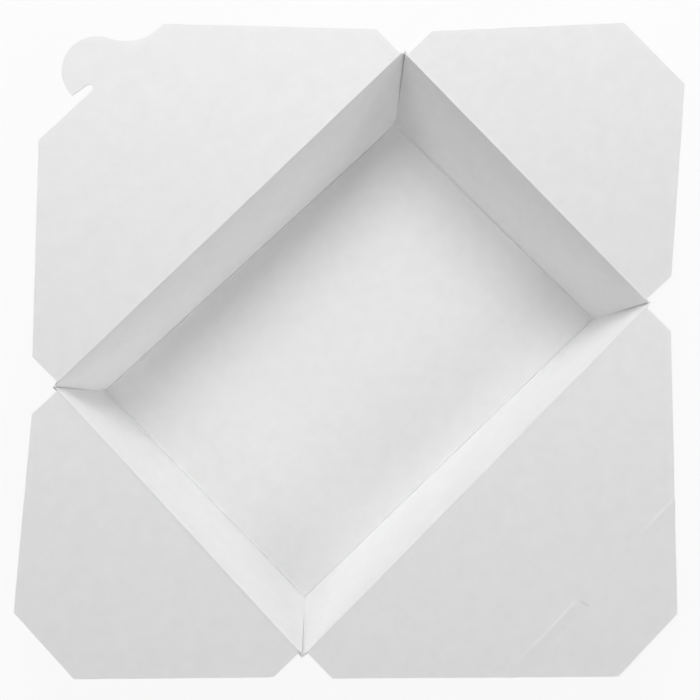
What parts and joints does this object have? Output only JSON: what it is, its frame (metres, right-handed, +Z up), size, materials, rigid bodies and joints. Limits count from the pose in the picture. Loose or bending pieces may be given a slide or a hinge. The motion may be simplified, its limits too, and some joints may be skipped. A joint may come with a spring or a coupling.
{
  "type": "paper food container",
  "caption": "Folded white paperboard take-out box with flared walls, web corners and open flaps that close over the food and lock with a hook tab and a slot.",
  "frame": {"origin": "middle of the underside of the floor, on the surface that the box stands on", "axes": "+X along the long walls towards the right end flap, +Y towards the flap with the hook tab, +Z up"},
  "size_m": [0.3673, 0.3607, 0.0598],
  "materials": {
    "paperboard": "matte"
  },
  "bodies": {
    "tray": {"tray": "paperboard"},
    "hook_flap": {"hook_flap": "paperboard"},
    "slot_flap": {"slot_flap": "paperboard"},
    "right_end_flap": {"right_end_flap": "paperboard"},
    "left_end_flap": {"left_end_flap": "paperboard"}
  },
  "joints": [
    {"name": "hook_flap_fold", "type": "hinge", "parent": "tray", "child": "hook_flap", "pos_m": [0, 0.079, 0.04872], "axis": [0.9997, 0.025, 0], "range_deg": [-30, 175]},
    {"name": "slot_flap_fold", "type": "hinge", "parent": "tray", "child": "slot_flap", "pos_m": [0, -0.07889, 0.04816], "axis": [-0.9997, -0.0247, 0], "range_deg": [-24, 181]},
    {"name": "right_end_flap_fold", "type": "hinge", "parent": "tray", "child": "right_end_flap", "pos_m": [0.10743, 0.00263, 0.0476], "axis": [0, -1, 0], "range_deg": [-34, 171]},
    {"name": "left_end_flap_fold", "type": "hinge", "parent": "tray", "child": "left_end_flap", "pos_m": [-0.10743, -0.00263, 0.0476], "axis": [0, 1, 0], "range_deg": [-24, 181]}
  ]
}
